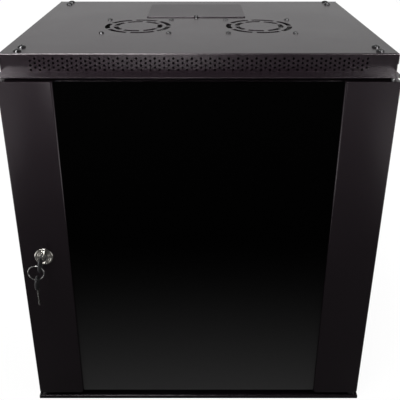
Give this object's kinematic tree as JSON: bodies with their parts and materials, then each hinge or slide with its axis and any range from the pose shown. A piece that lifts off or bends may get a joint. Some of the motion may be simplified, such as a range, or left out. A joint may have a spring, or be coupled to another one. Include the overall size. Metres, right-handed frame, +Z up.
{
  "type": "wall-mount rack cabinet",
  "caption": "Black wall-mount 19-inch rack cabinet with a smoked glass door, key lock, roof fans, pull-off side panels and mounting rails inside.",
  "frame": {"origin": "middle of the underside of the base", "axes": "+X to the right seen from the front, +Y from the front to the wall, +Z up"},
  "size_m": [0.55, 0.488, 0.6039],
  "materials": {
    "black_coat": "fine matt powder coat",
    "zinc_steel": "zinc plated",
    "chrome": "polished",
    "key_steel": "nickel plated",
    "black_screw": "black oxide",
    "black_plastic": "matt",
    "fan_plastic": "satin",
    "smoked_glass": "smoked, polished",
    "rubber": "soft",
    "foam_tape": "foam"
  },
  "bodies": {
    "cabinet": {"base_panel": "black_coat", "top_panel": "black_coat", "vent_strip": "black_coat", "front_header": "black_coat", "back_panel": "black_coat", "front_post_left": "black_coat", "front_post_right": "black_coat", "rear_post_left": "black_coat", "rear_post_right": "black_coat", "top_channel_left": "black_coat", "top_channel_right": "black_coat", "base_channel_left": "black_coat", "base_channel_right": "black_coat", "mounting_rail_left": "zinc_steel", "mounting_rail_right": "zinc_steel", "rail_bolts": "zinc_steel", "rail_nuts": "zinc_steel", "fan_frame_left": "fan_plastic", "fan_frame_right": "fan_plastic", "fan_screws": "black_screw", "top_entry_plate": "black_coat", "base_entry_plate": "black_coat", "entry_screws": "black_screw", "top_screws": "black_screw", "hinge_bush": "black_plastic", "door_buffers": "rubber"},
    "door": {"door_stile_left": "black_coat", "door_stile_right": "black_coat", "door_rail_top": "black_coat", "door_rail_bottom": "black_coat", "glass_pane": "smoked_glass", "glass_tape": "foam_tape", "hinge_pin_top": "zinc_steel", "hinge_pin_bottom": "zinc_steel", "lock_body": "chrome", "lock_nut": "zinc_steel"},
    "lock": {"lock_plug": "chrome", "lock_cam": "zinc_steel", "cam_screw": "zinc_steel"},
    "key": {"key_bow": "black_plastic", "key_blade": "key_steel"},
    "ring": {"key_ring": "chrome"},
    "spare_key": {"spare_key_bow": "black_plastic", "spare_key_blade": "key_steel"},
    "fan_left": {"fan_rotor_left": "fan_plastic"},
    "fan_right": {"fan_rotor_right": "fan_plastic"},
    "side_left": {"side_panel_left": "black_coat", "side_latch_body_left": "black_plastic"},
    "side_right": {"side_panel_right": "black_coat", "side_latch_body_right": "black_plastic"},
    "latch_left": {"side_latch_plug_left": "zinc_steel"},
    "latch_right": {"side_latch_plug_right": "zinc_steel"}
  },
  "joints": [
    {"name": "door_hinge", "type": "hinge", "parent": "cabinet", "child": "door", "pos_m": [0.265, -0.213, 0.28965], "axis": [0, 0, 1], "range_deg": [0, 180]},
    {"name": "lock_turn", "type": "hinge", "parent": "door", "child": "lock", "pos_m": [-0.238, -0.213, 0.28965], "axis": [0, -1, 0], "range_deg": [0, 90]},
    {"name": "key_pull", "type": "slide", "parent": "lock", "child": "key", "axis": [0, -1, 0], "range_m": [0, 0.03]},
    {"name": "ring_swing", "type": "hinge", "parent": "key", "child": "ring", "pos_m": [-0.238, -0.252, 0.28965], "axis": [0, -1, 0], "range_deg": [0, 60]},
    {"name": "spare_swing", "type": "hinge", "parent": "ring", "child": "spare_key", "pos_m": [-0.24454, -0.252, 0.26677], "axis": [1, 0, 0], "range_deg": [-20, 20]},
    {"name": "fan_left_spin", "type": "hinge", "parent": "cabinet", "child": "fan_left", "pos_m": [-0.099, -0.0155, 0.585], "axis": [0, 0, 1], "continuous": true},
    {"name": "fan_right_spin", "type": "hinge", "parent": "cabinet", "child": "fan_right", "pos_m": [0.099, -0.0155, 0.585], "axis": [0, 0, 1], "continuous": true},
    {"name": "side_left_pull", "type": "slide", "parent": "cabinet", "child": "side_left", "axis": [-1, 0, 0], "range_m": [0, 0.12]},
    {"name": "side_right_pull", "type": "slide", "parent": "cabinet", "child": "side_right", "axis": [1, 0, 0], "range_m": [0, 0.12]},
    {"name": "latch_left_turn", "type": "hinge", "parent": "side_left", "child": "latch_left", "pos_m": [-0.268, 0.0139, 0.54], "axis": [1, 0, 0], "range_deg": [0, 90]},
    {"name": "latch_right_turn", "type": "hinge", "parent": "side_right", "child": "latch_right", "pos_m": [0.268, 0.0139, 0.54], "axis": [1, 0, 0], "range_deg": [0, 90]}
  ]
}
